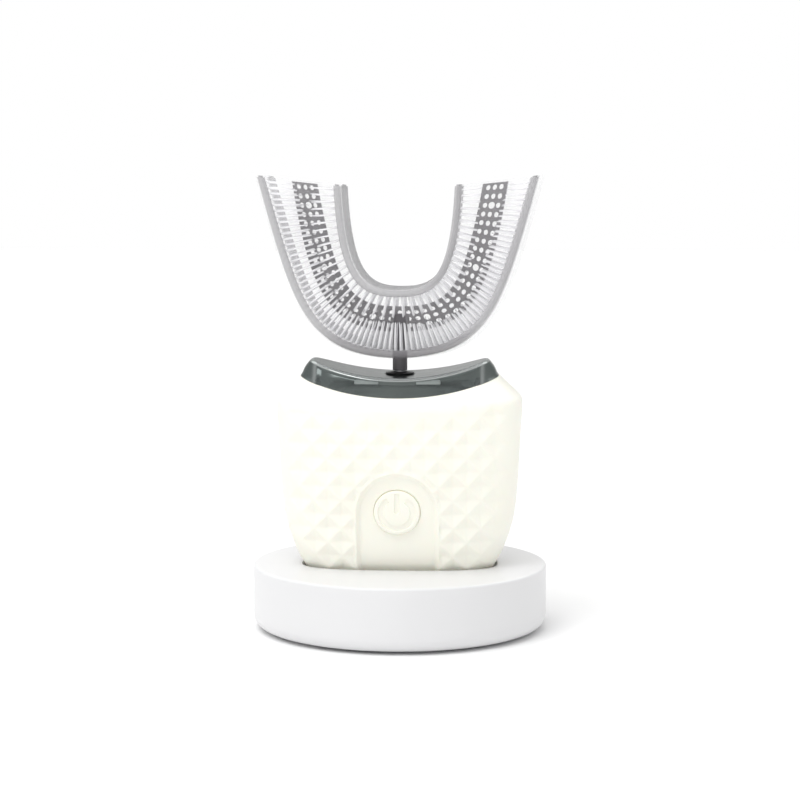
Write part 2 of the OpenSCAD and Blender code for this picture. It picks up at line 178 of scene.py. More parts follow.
def make_materials():
    """One material per finish, named for what the real one is and how it was made."""
    made = {}

    def coords(tree):
        return add_node(tree, "ShaderNodeTexCoord").outputs["Object"]

    def fine_bump(tree, shader, vector, grain_mm, height_mm):
        """Surface grain: grain_mm is the size of one grain, height_mm how far it stands."""
        grain = add_node(tree, "ShaderNodeTexNoise", {"Vector": vector, "Scale": 1 / (grain_mm * MM)})
        bump = add_node(tree, "ShaderNodeBump", {
            "Height": grain.outputs["Fac"], "Strength": 0.25, "Distance": height_mm * MM})
        tree.links.new(bump.outputs["Normal"], shader.inputs["Normal"])

    # ABS, injection moulded in a spark-eroded tool: an even satin with a very fine grain, warm cream pigment
    m, t, s = new_material("moulded_cream_abs", IOR=1.53, Subsurface_Weight=0.08, Subsurface_Scale=0.5 * MM,
                           Coat_Weight=0.12, Coat_Roughness=0.35)
    c = coords(t)
    tone = mottled(t, c, 60, linear("#F8F7EC"), linear("#F6F4E8"))
    t.links.new(tone.outputs["Result"], s.inputs["Base Color"])
    wear = add_node(t, "ShaderNodeTexNoise", {"Vector": c, "Scale": 180.0, "Detail": 4.0})
    rough = add_node(t, "ShaderNodeMapRange", {"Value": wear.outputs["Fac"], "To Min": 0.36, "To Max": 0.5})
    t.links.new(rough.outputs["Result"], s.inputs["Roughness"])
    fine_bump(t, s, c, 0.35, 0.01)
    made["cream"] = m

    # ABS, injection moulded in a polished tool: smooth white satin that picks up soft reflections
    m, t, s = new_material("moulded_white_abs", IOR=1.53, Coat_Weight=0.2, Coat_Roughness=0.2)
    c = coords(t)
    tone = mottled(t, c, 40, linear("#DEDEDF"), linear("#DCDCDD"))
    t.links.new(tone.outputs["Result"], s.inputs["Base Color"])
    wear = add_node(t, "ShaderNodeTexNoise", {"Vector": c, "Scale": 120.0, "Detail": 4.0})
    rough = add_node(t, "ShaderNodeMapRange", {"Value": wear.outputs["Fac"], "To Min": 0.3, "To Max": 0.42})
    t.links.new(rough.outputs["Result"], s.inputs["Roughness"])
    fine_bump(t, s, c, 0.5, 0.006)
    made["white"] = m

    # ABS, electroplated in smoke grey: a dark mirror with a faint green cast where the plating is thin
    m, t, s = new_material("smoke_plated_abs", Metallic=0.75, Specular_Tint=(0.4, 0.42, 0.41, 1))
    c = coords(t)
    tone = mottled(t, c, 90, linear("#646A68"), linear("#5C6261"))
    # painted highlight: a brighter colour mixed in along the collar's lip and down its front ends, where the
    # lights reflect
    painted_highlight = add_node(t, "ShaderNodeAttribute", attribute_name="painted_highlight")
    tone = add_node(t, "ShaderNodeMix", {0: painted_highlight.outputs["Fac"], "A": tone.outputs["Result"],
                                         "B": linear("#B4B8B7")}, data_type="RGBA")
    t.links.new(tone.outputs["Result"], s.inputs["Base Color"])
    swirl = add_node(t, "ShaderNodeTexNoise", {"Vector": c, "Scale": 260.0, "Detail": 5.0})
    rough = add_node(t, "ShaderNodeMapRange", {"Value": swirl.outputs["Fac"], "To Min": 0.12, "To Max": 0.2})
    t.links.new(rough.outputs["Result"], s.inputs["Roughness"])
    fine_bump(t, s, c, 1.5, 0.004)
    made["smoke"] = m

    # Polycarbonate, moulded and frosted: the lights behind it show as a soft pale bar
    m, t, s = new_material("frosted_polycarbonate", IOR=1.58, Transmission_Weight=0.2)
    c = coords(t)
    tone = mottled(t, c, 300, linear("#868D8B"), linear("#7C8382"))
    t.links.new(tone.outputs["Result"], s.inputs["Base Color"])
    frost = add_node(t, "ShaderNodeTexNoise", {"Vector": c, "Scale": 900.0})
    rough = add_node(t, "ShaderNodeMapRange", {"Value": frost.outputs["Fac"], "To Min": 0.35, "To Max": 0.5})
    t.links.new(rough.outputs["Result"], s.inputs["Roughness"])
    made["frosted"] = m

    # Liquid silicone rubber, moulded clear: hardly seen face on; grey painted along its rims where the eye
    # looks down the length of a wall, as painted shade for the darker room seen through the edge, darkest at
    # the foot of the U
    m, t, s = new_material("moulded_clear_silicone", IOR=1.41)
    c = coords(t)
    rim = add_node(t, "ShaderNodeAttribute", attribute_name="rim")
    foot = add_node(t, "ShaderNodeAttribute", attribute_name="foot")
    cloud = add_node(t, "ShaderNodeTexNoise", {"Vector": c, "Scale": 400.0, "Detail": 3.0})
    haze = add_node(t, "ShaderNodeMapRange", {"Value": cloud.outputs["Fac"], "To Min": 0.1, "To Max": 0.22})
    t.links.new(haze.outputs["Result"], s.inputs["Roughness"])
    # painted shade: the rims are painted grey, and darker still towards the foot of the U, for the dark
    # surroundings seen down the walls
    shade = add_node(t, "ShaderNodeMix", {0: foot.outputs["Fac"], "A": linear("#ABAAAC"),
                                          "B": linear("#6F6D70")}, data_type="RGBA")
    tone = add_node(t, "ShaderNodeMix", {0: rim.outputs["Fac"], "A": linear("#FAFAFB"),
                                         "B": shade.outputs["Result"]}, data_type="RGBA")
    t.links.new(tone.outputs["Result"], s.inputs["Base Color"])
    solid = add_node(t, "ShaderNodeMapRange", {"Value": rim.outputs["Fac"], "To Min": 0.16, "To Max": 0.85})
    t.links.new(solid.outputs["Result"], s.inputs["Alpha"])
    made["silicone"] = m

    # The same silicone drawn out into fine filaments: too thin to see through, they show as pale grey threads
    m, t, s = new_material("moulded_silicone_filament", IOR=1.41, Alpha=0.38)
    c = coords(t)
    tone = mottled(t, c, 500, linear("#FDFDFE"), linear("#F3F2F5"))
    t.links.new(tone.outputs["Result"], s.inputs["Base Color"])
    haze = add_node(t, "ShaderNodeTexNoise", {"Vector": c, "Scale": 700.0})
    rough = add_node(t, "ShaderNodeMapRange", {"Value": haze.outputs["Fac"], "To Min": 0.2, "To Max": 0.4})
    t.links.new(rough.outputs["Result"], s.inputs["Roughness"])
    made["filament"] = m

    plain_finishes = {
        # name: (material, base colours, metallic, IOR, roughness range, grain mm, grain height mm)
        # nylon, moulded dark grey, slightly dull
        "nylon": ("moulded_grey_nylon", "#706D70", "#646265", 0.0, 1.53, (0.35, 0.5), 0.4, 0.012),
        # silicone rubber, moulded black, soft sheen
        "black_rubber": ("moulded_black_silicone", "#1B1B1C", "#121213", 0.0, 1.41, (0.45, 0.62), 0.5, 0.02),
        # silicone rubber, moulded grey with a gritty tread
        "grey_rubber": ("moulded_grey_silicone", "#8B8B8D", "#7C7C7F", 0.0, 1.41, (0.6, 0.8), 0.6, 0.04),
        # ABS, moulded with a coarse matt underside
        "matt_white": ("textured_white_abs", "#E2E2E3", "#D9D9DB", 0.0, 1.53, (0.5, 0.65), 0.7, 0.03),
        # ABS, moulded uncoloured for inner parts
        "inner_abs": ("moulded_natural_abs", "#D6D4CB", "#CBC9BF", 0.0, 1.53, (0.4, 0.55), 0.6, 0.02),
        # steel, ground and bright
        "steel": ("ground_steel", "#C9CACC", "#B7B8BB", 1.0, 1.5, (0.18, 0.32), 0.25, 0.006),
        # copper wire with clear enamel
        "copper": ("enamelled_copper_wire", "#B87345", "#9C5A33", 1.0, 1.5, (0.25, 0.4), 0.4, 0.05),
        # ferrite, pressed and sintered, dull black
        "ferrite": ("sintered_ferrite", "#2B2C2F", "#222326", 0.0, 1.9, (0.55, 0.75), 0.3, 0.02),
        # glass laminate under green solder mask
        "laminate": ("solder_masked_laminate", "#1E6A3C", "#175A32", 0.0, 1.52, (0.25, 0.4), 0.5, 0.01),
        # epoxy-moulded electronic parts
        "epoxy": ("moulded_epoxy", "#242425", "#1B1B1C", 0.0, 1.55, (0.45, 0.6), 0.3, 0.01),
        # bronze, pressed and sintered, slightly porous
        "bronze": ("sintered_bronze", "#A98252", "#94703F", 1.0, 1.5, (0.35, 0.5), 0.2, 0.02),
        # magnet with bright nickel plating
        "nickel": ("nickel_plated_magnet", "#B4B3AE", "#A5A49F", 1.0, 1.5, (0.15, 0.28), 0.4, 0.005),
        # PVC shrink sleeve on the cell
        "sleeve": ("shrunk_blue_pvc", "#2F5E9E", "#28528C", 0.0, 1.54, (0.2, 0.35), 0.9, 0.03),
    }
    for key, (name, light, dark, metal, ior, (smooth, dull), grain, height) in plain_finishes.items():
        m, t, s = new_material(name, Metallic=metal, IOR=ior)
        c = coords(t)
        tone = mottled(t, c, 220, linear(light), linear(dark))
        t.links.new(tone.outputs["Result"], s.inputs["Base Color"])
        noise = add_node(t, "ShaderNodeTexNoise", {"Vector": c, "Scale": 300.0, "Detail": 4.0})
        rough = add_node(t, "ShaderNodeMapRange", {
            "Value": noise.outputs["Fac"], "To Min": smooth, "To Max": dull})
        t.links.new(rough.outputs["Result"], s.inputs["Roughness"])
        fine_bump(t, s, c, grain, height)
        made[key] = m
    return made


# ---------------------------------------------------------------- the handle's form

# Sections of the handle: height above the dock's top, half width, half depth
SECTIONS = np.array([
    (-3.4, 19.6, 8.0), (-1.8, 21.6, 10.0), (0, 22.7, 11.2), (2.4, 24.1, 12.4), (5, 25.2, 13.2),
    (8, 26.3, 13.8), (14, 27.6, 15.0), (25, 28.4, 17.2), (33, 28.8, 18.1), (37.6, 29.1, 18.2),
    (39.4, 29.1, 17.8), (41.2, 27.7, 16.6), (43.2, 25.6, 14.4), (45.4, 23.5, 12.0),
    (47.2, 22.6, 10.9), (49.6, 20.6, 10.0), (51, 19.4, 9.6)]) * MM
OVAL_POWER = 3
SHELL_SADDLE_Z, SHELL_SADDLE_R = 40.95 * MM, 68 * MM
COLLAR_SADDLE_Z, COLLAR_SADDLE_R = 45.2 * MM, 58 * MM
GRIP_WALL = 2.2 * MM
GRIP_BOTTOM = -1.8 * MM
BUTTON_Z = 13.9 * MM
FRONT_SLOPE = 0.2
BUTTON_TILT = math.atan(FRONT_SLOPE)
CELL_W, CELL_H = 3.25 * MM, 3.37 * MM     # half width and half height of one diamond
CELL_DEPTH = 0.72 * MM
SUBCELLS = 8                              # mesh steps along half a diamond
KEPT_CELLS = 6                            # half diamonds each side whose mesh columns follow the pattern
EDGE_COLUMNS = 32                         # mesh columns from there to the side of the handle


def smooth_profile(z, column):
    """Monotone cubic through the sections: half width (1) or half depth (2) at height z."""
    x, y = SECTIONS[:, 0], SECTIONS[:, column]
    h, d = np.diff(x), np.diff(y) / np.diff(x)
    slope = np.zeros(len(x))
    slope[0], slope[-1] = d[0], d[-1]
    same = d[:-1] * d[1:] > 0
    w1, w2 = 2 * h[1:] + h[:-1], h[1:] + 2 * h[:-1]
    with np.errstate(divide="ignore", invalid="ignore"):
        mean = (w1 + w2) / (w1 / d[:-1] + w2 / d[1:])
    slope[1:-1] = np.where(same, mean, 0)
    z = np.clip(z, x[0], x[-1])
    k = np.clip(np.searchsorted(x, z, side="right") - 1, 0, len(h) - 1)
    t = (z - x[k]) / h[k]
    return ((1 + 2 * t) * (1 - t) ** 2 * y[k] + t * (1 - t) ** 2 * h[k] * slope[k]
            + t * t * (3 - 2 * t) * y[k + 1] + t * t * (t - 1) * h[k] * slope[k + 1])


def saddle(x, low_z, radius):
    return low_z + radius - np.sqrt(radius ** 2 - x ** 2)


def front_y(x, z, inset=0.0):
    """y of the handle's front at (x, z), drawn in by an inset."""
    hw, hd = smooth_profile(z, 1) - inset, smooth_profile(z, 2) - inset
    return -hd * np.maximum(1 - (np.abs(x) / hw) ** OVAL_POWER, 0) ** (1 / OVAL_POWER)


def quarter_oval(hw, hd, kept_x):
    """Points (x, y) from the front's middle to the side: kept_x, then even steps along the curve."""
    a = np.linspace(0, math.pi / 2, 400)
    x = hw * np.sin(a) ** (2 / OVAL_POWER)
    y = hd * np.cos(a) ** (2 / OVAL_POWER)
    length = np.concatenate([[0], np.cumsum(np.hypot(np.diff(x), np.diff(y)))])
    start = np.interp(kept_x[-1], x, length)
    even = np.linspace(start, length[-1], EDGE_COLUMNS + 1)[1:]
    kept_y = hd * (1 - (kept_x / hw) ** OVAL_POWER) ** (1 / OVAL_POWER)
    return (np.concatenate([kept_x, np.interp(even, length, x)]),
            np.concatenate([kept_y, np.interp(even, length, y)]))


def handle_ring(height_of, inset=0.0, kept_half_width=None):
    """A closed ring round the handle. height_of(x) gives its height, solved with the width there."""
    kept = kept_half_width or CELL_W * KEPT_CELLS
    kept_x = np.linspace(0, kept, KEPT_CELLS * SUBCELLS + 1)
    x = np.concatenate([kept_x, np.linspace(kept, 0.028, EDGE_COLUMNS + 1)[1:]])
    for _ in range(6):
        z = np.broadcast_to(height_of(x), x.shape)
        hw, hd = smooth_profile(z, 1) - inset, smooth_profile(z, 2) - inset
        y = np.empty_like(x)
        for i in range(len(x)):
            if i < len(kept_x):
                y[i] = hd[i] * max(1 - (kept_x[i] / hw[i]) ** OVAL_POWER, 0) ** (1 / OVAL_POWER)
            else:
                if i == len(kept_x) or np.ptp(z) > 0:
                    qx, qy = quarter_oval(hw[i], hd[i], kept_x)
                x[i], y[i] = qx[i], qy[i]
    z = np.broadcast_to(height_of(x), x.shape)
    quarter = np.column_stack([x, -y, z])
    back_right = (quarter * (1, -1, 1))[-2::-1]
    right = np.concatenate([quarter, back_right])
    left = (right * (-1, 1, 1))[-2:0:-1]
    return np.concatenate([right, left])


def polar_ring(half_w, half_d, z, columns, power=OVAL_POWER):
    """A ring of points at even angles on a superellipse (power 2 is an ellipse)."""
    a = TAU * np.arange(columns) / columns
    r = (np.abs(np.cos(a) / half_w) ** power + np.abs(np.sin(a) / half_d) ** power) ** (-1 / power)
    return np.column_stack([r * np.cos(a), r * np.sin(a), np.full(columns, z)])


def ring_solid(name, rings, material, start_pole=None, end_pole=None, closed=False, sharp_deg=40):
    """Skins rings of equal length; each open end is closed to a pole."""
    columns = len(rings[0])
    verts = [tuple(p) for ring in rings for p in ring]
    faces = grid_faces(len(rings), columns, closed_rows=closed)
    for pole, ring_index in ((start_pole, 0), (end_pole, len(rings) - 1)):
        if pole is not None:
            verts.append(tuple(pole))
            first = ring_index * columns
            faces += [(len(verts) - 1, first + c, first + (c + 1) % columns) for c in range(columns)]
    return face_outwards(make_object(name, verts, faces, material, sharp_deg=sharp_deg))


# ---------------------------------------------------------------- handle

PIT_EDGE = 0.05            # rounding of the ridges, as a share of a pit's depth
PIT_FADE_IN = (0.82, 0.90)  # share of the half width over which the pits run out to a smooth side
PIT_FADE_TOP = (3.5 * MM, 9 * MM)
PANEL_HALF_W = 9.5 * MM
PANEL_RIM = (0.25 * MM, 0.8 * MM)
# The arched panel's edge: how far below the surface, half width there
PANEL_STEPS = [(1.0, 8.45), (0.98, 8.62), (0.88, 8.8), (0.24, 9.28), (0.1, 9.42), (0.02, 9.6), (-0.3, 10.1)]


def pit_depth(x, z):
    """Depth of the pyramid pits: diamonds on a staggered lattice, running out at the sides and the top."""
    a, b = x / CELL_W, z / CELL_H
    p, q = a + b, a - b
    m, n = np.round(p / 2), np.round(q / 2)
    inside = 1 - np.maximum(np.abs(p - 2 * m), np.abs(q - 2 * n))
    pit = np.sqrt(inside ** 2 + PIT_EDGE ** 2) - PIT_EDGE
    centre_x, centre_z = np.abs(m + n) * CELL_W, (m - n) * CELL_H
    share = centre_x / smooth_profile(centre_z, 1)
    below_edge = saddle(np.minimum(centre_x, 0.03), SHELL_SADDLE_Z, SHELL_SADDLE_R) - centre_z
    keep = (1 - smoothstep(share, *PIT_FADE_IN)) * smoothstep(below_edge, *PIT_FADE_TOP)
    return CELL_DEPTH * pit * keep


def outside_arch(x, z):
    """Distance from (x, z) to the panel's outline, negative inside it."""
    round_part = np.hypot(x, z - BUTTON_Z) - PANEL_HALF_W
    return np.where(z > BUTTON_Z, round_part, np.abs(x) - PANEL_HALF_W)


def grid_normals(points):
    """Outward normals of a rows x columns x 3 grid that closes along its columns."""
    across = np.roll(points, -1, axis=1) - np.roll(points, 1, axis=1)
    up = np.gradient(points, axis=0)
    normal = np.cross(across, up)
    return normal / np.linalg.norm(normal, axis=2, keepdims=True)


def make_grip_shell(material):
    """The handle's moulded shell, with pressed pyramid pits, an arched panel and the button's hole."""
    step = CELL_H / SUBCELLS
    first_k, last_k = math.ceil(GRIP_BOTTOM / step), int(37 * MM / step)
    heights = [GRIP_BOTTOM] + [k * step for k in range(first_k, last_k + 1)]
    flat_top = heights[-1]
    stretch_rows, lip = 18, 0.35 * MM

    def edge(drop):
        return lambda x: saddle(x, SHELL_SADDLE_Z - drop, SHELL_SADDLE_R)

    def stretched(share):
        return lambda x: flat_top + share * (edge(lip)(x) - flat_top)

    def inside(share):
        return lambda x: (1 - share) * edge(0.3 * MM)(x) + share * GRIP_BOTTOM

    rows = [handle_ring(lambda x, z=z: z) for z in heights]
    rows += [handle_ring(stretched(k / stretch_rows)) for k in range(1, stretch_rows + 1)]
    smooth_outer = np.array(rows)
    # the columns run anticlockwise seen from above, so the cross product of the grid faces outwards
    normal = grid_normals(smooth_outer)
    x, y, z = np.moveaxis(smooth_outer, 2, 0)
    depth = pit_depth(x, z) * np.where(y < 0, smoothstep(outside_arch(x, z), *PANEL_RIM), 1)
    outer = smooth_outer - normal * depth[:, :, None]
    lip_rings = []
    for angle in (30, 60, 90):
        a = math.radians(angle)
        lip_rings.append(handle_ring(edge(lip * (1 - math.sin(a))), inset=lip * (1 - math.cos(a))))
    inner_kept = CELL_W * 5
    inner = [handle_ring(edge(0), GRIP_WALL, inner_kept)]
    inner += [handle_ring(inside(share), GRIP_WALL, inner_kept) for share in np.linspace(0, 1, 14)[1:]]
    rings = list(outer) + lip_rings + inner
    columns = len(rings[0])
    verts = np.concatenate(rings) + (0, 0, DOCK_TOP)
    faces = []
    for r in range(len(rings)):
        r2 = (r + 1) % len(rings)
        for c in range(columns):
            c2 = (c + 1) % columns
            quad = (r * columns + c, r * columns + c2, r2 * columns + c2, r2 * columns + c)
            if r2 >= len(outer) or r >= len(outer) - 1:
                faces.append(quad)
                continue
            # split along the diagonal that follows the pit's crease
            corners = smooth_outer[r, c] + smooth_outer[r, c2] + smooth_outer[r2, c2] + smooth_outer[r2, c]
            mid = corners / 4
            true_depth = float(pit_depth(mid[0], mid[2]))
            first = abs((depth[r, c] + depth[r2, c2]) / 2 - true_depth)
            second = abs((depth[r, c2] + depth[r2, c]) / 2 - true_depth)
            if first <= second:
                faces += [(quad[0], quad[1], quad[2]), (quad[0], quad[2], quad[3])]
            else:
                faces += [(quad[0], quad[1], quad[3]), (quad[1], quad[2], quad[3])]
    shell = face_outwards(make_object("grip_shell_moulding", verts, faces, material))
    cut(shell, arch_cutter(material))
    cut(shell, button_hole_cutter(material))
    shell.data.shade_smooth()
    shell.data.set_sharp_from_angle(angle=math.radians(38))
    return shell


def arch_cutter(material):
    """The recess of the arched panel, with its coved edge, as a closed mesh."""
    columns = 72
    bottom = GRIP_BOTTOM - 3 * MM
    angles = np.linspace(-math.pi / 2, math.pi / 2, columns)
    verts, faces = [], []

    def outline(half_w):
        """Left side from the bottom, round the arch, down the right side."""
        legs = np.linspace(bottom, BUTTON_Z, 24)[:-1]
        left = [(-half_w, z) for z in legs]
        top = [(half_w * math.sin(a), BUTTON_Z + half_w * math.cos(a)) for a in angles]
        return left + top + [(half_w, z) for z in legs[::-1]]

    levels = []
    for below, half_w in PANEL_STEPS:
        points = outline(half_w * MM)
        x, z = np.array(points).T
        levels.append(np.column_stack([x, front_y(x, z, below * MM), z]))
    x, z = np.array(outline(PANEL_STEPS[-1][1] * MM)).T
    levels.append(np.column_stack([x, np.full(len(x), -0.03), z]))
    count = len(levels[0])
    for level in levels:
        verts += [tuple(v + (0, 0, DOCK_TOP)) for v in level]
    faces += grid_faces(len(levels), count)
    # the floor: strips from the left side of the outline to the right side
    half = count // 2
    x, z = levels[0][:, 0], levels[0][:, 2]
    across = 24
    start = len(verts)
    for k in range(half):
        for s in range(1, across):
            px = x[k] + (x[count - 1 - k] - x[k]) * s / across
            verts.append((px, float(front_y(px, z[k], PANEL_STEPS[0][0] * MM)), z[k] + DOCK_TOP))

    def floor_vertex(k, s):
        if s == 0:
            return k
        return count - 1 - k if s == across else start + k * (across - 1) + s - 1

    for k in range(half - 1):
        for s in range(across):
            near, far = (k, s), (k + 1, s)
            faces.append((floor_vertex(*near), floor_vertex(k, s + 1),
                          floor_vertex(k + 1, s + 1), floor_vertex(*far)))
    faces.append(tuple((len(levels) - 1) * count + k for k in range(count)))
    last = half - 1
    apex = [floor_vertex(last, s) for s in range(across + 1)] + list(range(count - 2 - last, last, -1))
    faces.append(tuple(apex))
    faces = [f for f in faces if len(set(f)) > 2]
    cutter = make_object("arch_cutter", verts, faces, material)
    return face_outwards(cutter)


def at_button(points):
    """Points in the button's own frame, +Z outwards, moved to the handle."""
    half_depth = 13.2 * MM + FRONT_SLOPE * (BUTTON_Z - 5 * MM)
    turn = Matrix.Rotation(math.pi / 2 + BUTTON_TILT, 4, "X")
    place = Matrix.Translation((0, -half_depth, DOCK_TOP + BUTTON_Z)) @ turn
    return [tuple(place @ Vector(p)) for p in points]


def button_hole_cutter(material):
    """The button's bore, opening out a little at the panel's face."""
    bore, mouth = 5.47 * MM, 5.85 * MM
    verts, faces = lathe([(0.0001, -6 * MM), (bore, -6 * MM), (bore, -1.15 * MM), (5.57 * MM, -0.99 * MM),
                          (mouth, -0.8 * MM), (mouth, 6 * MM), (0.0001, 6 * MM)], 96)
    return face_outwards(make_object("hole_cutter", at_button(verts), faces, material))


def make_button(material):
    """The round key, with its ring and bar sunk into the face."""
    r, top, edge = 5.4 * MM, -0.1 * MM, 0.5 * MM
    crown = 0.12 * MM
    profile = [(0.00005, top)]
    profile += [(s * (r - edge), top - crown * s * s) for s in np.linspace(0.08, 1, 12)]
    profile += arc((r - edge, top - crown - edge), edge, 80, 0, 7)
    profile += [(r, -2.8 * MM), (r + 0.8 * MM, -2.8 * MM), (r + 0.8 * MM, -3.6 * MM), (0.00005, -3.6 * MM)]
    verts, faces = lathe(profile[::-1], 128)
    key = face_outwards(make_object("power_key", at_button(verts), faces, material))
    # ring groove: a trapezoid section swept round, open at the top
    mid, half_w, deep, gap = 3.75 * MM, 0.62 * MM, 0.42 * MM, 33
    flare = 0.14 * MM
    lower, upper = half_w + flare, half_w + 2.4 * flare
    section = [(-half_w, -deep), (half_w, -deep), (lower, -0.06 * MM), (upper, 0.2 * MM),
               (-upper, 0.2 * MM), (-lower, -0.06 * MM)]
    steps = 96
    rows = []
    for k in range(steps + 1):
        a = math.radians(90 + gap + (360 - 2 * gap) * k / steps)
        rows.append([((mid + s) * math.cos(a), (mid + s) * math.sin(a), top + h) for s, h in section])
    verts = [p for row in rows for p in row]
    faces = grid_faces(len(rows), len(section))
    faces += [tuple(range(len(section))), tuple(len(verts) - 1 - k for k in range(len(section)))]
    cut(key, face_outwards(make_object("ring_cutter", at_button(verts), faces, material)))
    # bar: a rounded slot with the same flared walls
    outline = []
    for w, h in ((0.52, -0.42), (0.66, -0.06), (0.86, 0.2)):
        half = w * MM
        points = arc((0, 4.3 * MM), half, 0, 180, 10) + arc((0, 0.5 * MM), half, 180, 360, 10)
        outline.append([(x, y, top + h * MM) for x, y in points])
    verts = [p for row in outline for p in row]
    count = len(outline[0])
    faces = grid_faces(3, count)
    faces += [tuple(range(count)), tuple(2 * count + k for k in range(count))]
    cut(key, face_outwards(make_object("bar_cutter", at_button(verts), faces, material)))
    key.data.shade_smooth()
    key.data.set_sharp_from_angle(angle=math.radians(32))
    return key


def make_collar(material):
    """Plated crown of the handle: a sloping front sunk behind a rounded lip, and a saddle-shaped top."""
    inset, lip = 0.15 * MM, 0.6 * MM
    sunk, sunk_from, sunk_to = 0.4 * MM, 0.6 * MM, 1.1 * MM
    end_from, end_to = 18 * MM, 19.6 * MM
    top_z = COLLAR_SADDLE_Z

    def bottom(x):
        return saddle(x, SHELL_SADDLE_Z + 0.04 * MM, SHELL_SADDLE_R)

    def below_top(drop):
        return lambda x: saddle(x, top_z - drop, COLLAR_SADDLE_R)

    def part_way(share):
        return lambda x: (1 - share) * bottom(x) + share * below_top(lip)(x)

    face = np.array([handle_ring(part_way(share), inset=inset) for share in np.linspace(0, 1, 25)])
    below = np.abs(below_top(0)(np.minimum(np.abs(face[:, :, 0]), 0.03)) - face[:, :, 2])
    across = np.abs(face[:, :, 0])
    sink = sunk * smoothstep(below, sunk_from, sunk_to) * (1 - smoothstep(across, end_from, end_to))
    face = face - grid_normals(face) * (sink * (face[:, :, 1] < 0))[:, :, None]
    rings = list(face)
    for angle in (15, 30, 45, 60, 75, 90):
        out, up = lip * (1 - math.cos(math.radians(angle))), lip * (1 - math.sin(math.radians(angle)))
        rings.append(handle_ring(below_top(up), inset=inset + 1.1 * out))
    rounded = len(rings)
    edge = rings[-1]
    angle = np.arctan2(edge[:, 1], edge[:, 0])
    circle = np.column_stack([np.cos(angle), np.sin(angle)])
    for share in np.linspace(0, 1, 22)[1:]:
        xy = edge[:, :2] * (1 - share) + circle * (3.7 * MM * share)
        rings.append(np.column_stack([xy, saddle(xy[:, 0], top_z, COLLAR_SADDLE_R)]))
    for radius, z in ((3.65, 45.22), (2.62, 45.2), (2.62, 43.4)):
        rings.append(np.column_stack([circle * radius * MM, np.full(len(angle), z * MM)]))
    inner_kept = CELL_W * 5
    rings.append(handle_ring(below_top(1.8 * MM), 3.6 * MM, CELL_W * 4))
    for wall in (3.6, 2.35):
        rings.append(handle_ring(lambda x: 39.6 * MM, wall * MM, inner_kept))
    rings.append(handle_ring(lambda x: bottom(x) - 0.2 * MM, 2.35 * MM, inner_kept))
    rings.append(handle_ring(bottom, 2.0 * MM, inner_kept))
    collar = ring_solid("collar_plated", [ring + (0, 0, DOCK_TOP) for ring in rings], material,
                        closed=True, sharp_deg=42)
    # painted highlight: the colour is made brighter along the lip, and down its ends at the front, where the
    # lights reflect
    bright = np.zeros((len(rings), len(edge)))
    down_the_ends = smoothstep(across, end_from + MM, end_to) * (1 - smoothstep(across, end_to, end_to + MM))
    bright[:len(face)] = 0.45 * down_the_ends * (face[:, :, 1] < 0)
    bright[len(face) - 1:rounded - 1] = 1
    painted_highlight = collar.data.attributes.new("painted_highlight", "FLOAT", "POINT")
    painted_highlight.data.foreach_set("value", bright.ravel().astype(np.float32))
    return collar


def make_windows(material):
    """Two frosted bars let into the collar's front, over the lights."""
    half_w, half_h, edge = 2.85 * MM, 0.75 * MM, 0.18 * MM
    top, depth = -0.3 * MM, 1.3 * MM
    verts, faces = [], []
    for side in (-1, 1):
        place = (Matrix.Translation((side * 7.2 * MM, -12.6 * MM, DOCK_TOP + 44.7 * MM))
                 @ Matrix.Rotation(math.radians(side * 2.7), 4, "Z")
                 @ Matrix.Rotation(math.radians(42.5), 4, "X"))
        rings = []
        for inset, z in ((0, top - depth), (0, top - edge), (0.3 * edge, top - 0.3 * edge), (edge, top)):
            corner = 0.4 * MM
            points = []
            for cx, cy, start in ((1, 1, 0), (-1, 1, 90), (-1, -1, 180), (1, -1, 270)):
                centre = (cx * (half_w - corner), cy * (half_h - corner))
                points += arc(centre, corner - inset, start, start + 90, 6)
            rings.append([tuple(place @ Vector((x, y, z))) for x, y in points])
        first = len(verts)
        count = len(rings[0])
        verts += [p for ring in rings for p in ring]
        faces += grid_faces(len(rings), count, first=first)
        faces.append(tuple(first + k for k in range(count)))
        faces.append(tuple(first + (len(rings) - 1) * count + k for k in range(count)))
    return face_outwards(make_object("light_bars", verts, faces, material, sharp_deg=35))


def make_shaft_seal(material):
    """Rubber boot round the shaft: a flange on the collar and a small lip on the stem's side."""
    bore, neck, bottom, flange_r = 1.26 * MM, 2.55 * MM, 42.7 * MM, 3.4 * MM
    profile = [(bore, bottom), (neck, bottom), (neck, 45.25 * MM), (flange_r - 0.15 * MM, 45.25 * MM)]
    profile += arc((flange_r - 0.2 * MM, 45.47 * MM), 0.2 * MM, -60, 90, 6)
    profile += [(2.5 * MM, 45.7 * MM)] + arc((1.95 * MM, 45.64 * MM), 0.24 * MM, 30, 150, 6)
    profile.append((bore, 45.7 * MM))
    verts, faces = lathe(profile, 64, (0, 0, DOCK_TOP))
    return face_outwards(make_object("shaft_boot", verts, faces, material, sharp_deg=50))


